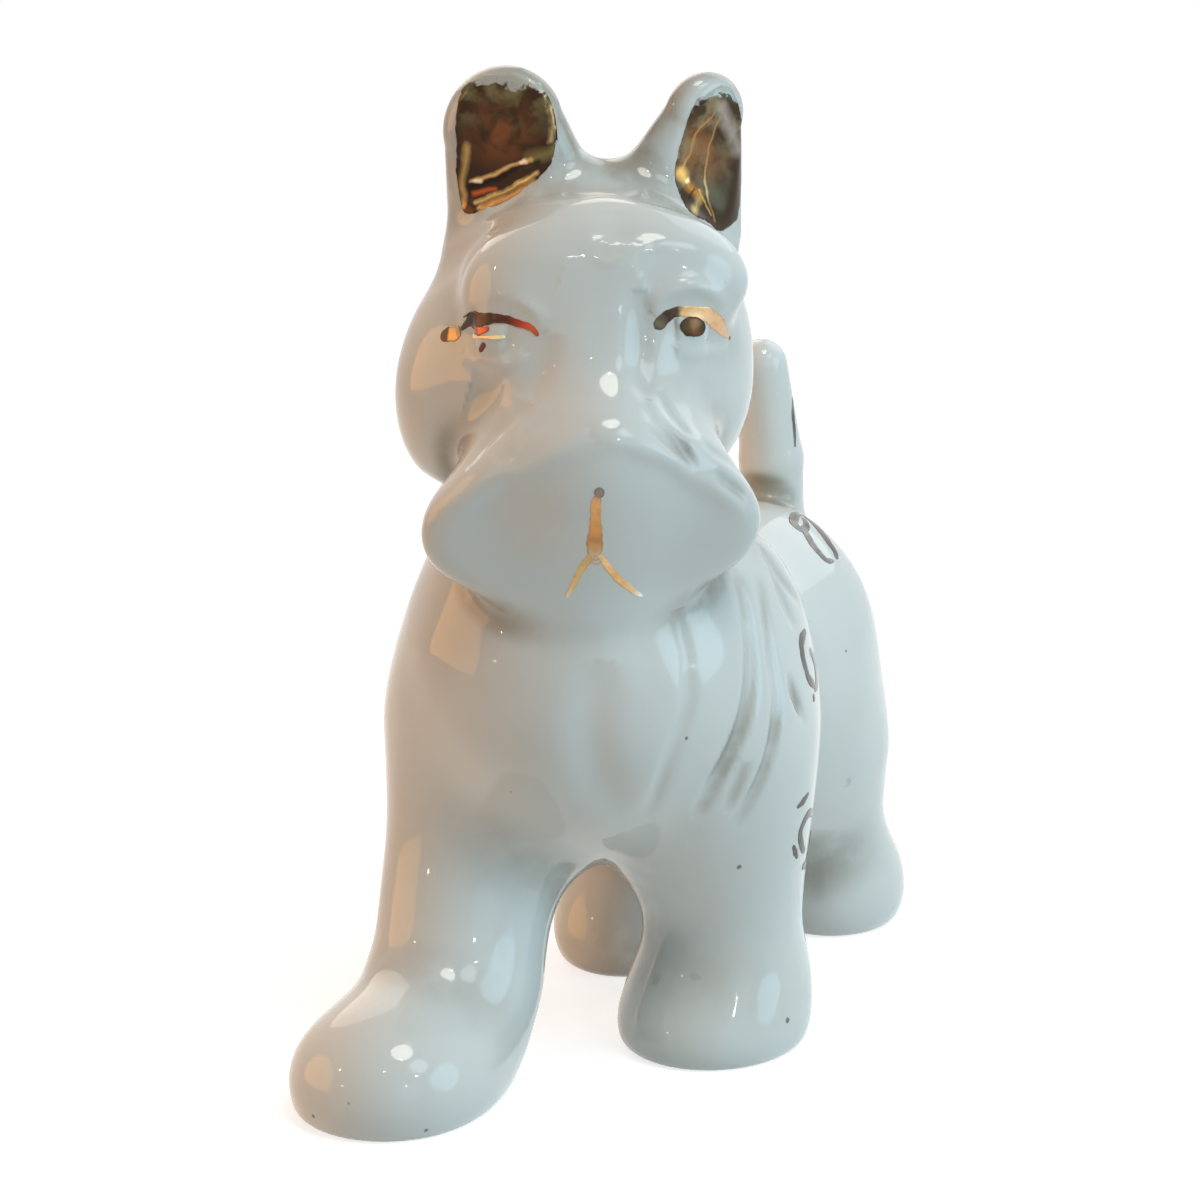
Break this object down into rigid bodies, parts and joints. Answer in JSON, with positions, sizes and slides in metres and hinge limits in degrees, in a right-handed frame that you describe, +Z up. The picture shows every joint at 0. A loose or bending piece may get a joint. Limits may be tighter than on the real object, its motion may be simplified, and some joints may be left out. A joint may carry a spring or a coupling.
{
  "type": "porcelain dog figurine",
  "caption": "Glazed porcelain terrier standing in mid-step with its head turned to its left, gold inside the ears and dark scrolls on the flanks.",
  "frame": {"origin": "on the surface that the figurine stands on, below the middle of its box", "axes": "+Z up; the dog's body faces -Y and its left side is +X"},
  "size_m": [0.0372, 0.079, 0.0868],
  "materials": {
    "glazed_porcelain": "polished",
    "bright_gold": "polished",
    "dark_enamel": "gloss"
  },
  "bodies": {
    "root": {"body_casting": "glazed_porcelain", "head_casting": "glazed_porcelain", "front_right_leg": "glazed_porcelain", "front_left_leg": "glazed_porcelain", "rear_right_leg": "glazed_porcelain", "rear_left_leg": "glazed_porcelain", "right_ear": "glazed_porcelain", "left_ear": "glazed_porcelain", "tail": "glazed_porcelain", "right_ear_gilding": "bright_gold", "left_ear_gilding": "bright_gold", "right_brow_stroke": "bright_gold", "left_brow_stroke": "bright_gold", "right_pupil": "bright_gold", "left_pupil": "bright_gold", "nose_stroke": "bright_gold", "right_lip_stroke": "bright_gold", "left_lip_stroke": "bright_gold", "left_shoulder_curl": "dark_enamel", "left_shoulder_sweep": "dark_enamel", "left_barrel_curl": "dark_enamel", "left_barrel_sweep": "dark_enamel", "left_haunch_curl": "dark_enamel", "left_haunch_sweep": "dark_enamel", "right_shoulder_curl": "dark_enamel", "right_shoulder_sweep": "dark_enamel", "right_barrel_curl": "dark_enamel", "right_barrel_sweep": "dark_enamel", "right_haunch_curl": "dark_enamel", "right_haunch_sweep": "dark_enamel", "tail_touch": "dark_enamel"}
  },
  "joints": []
}
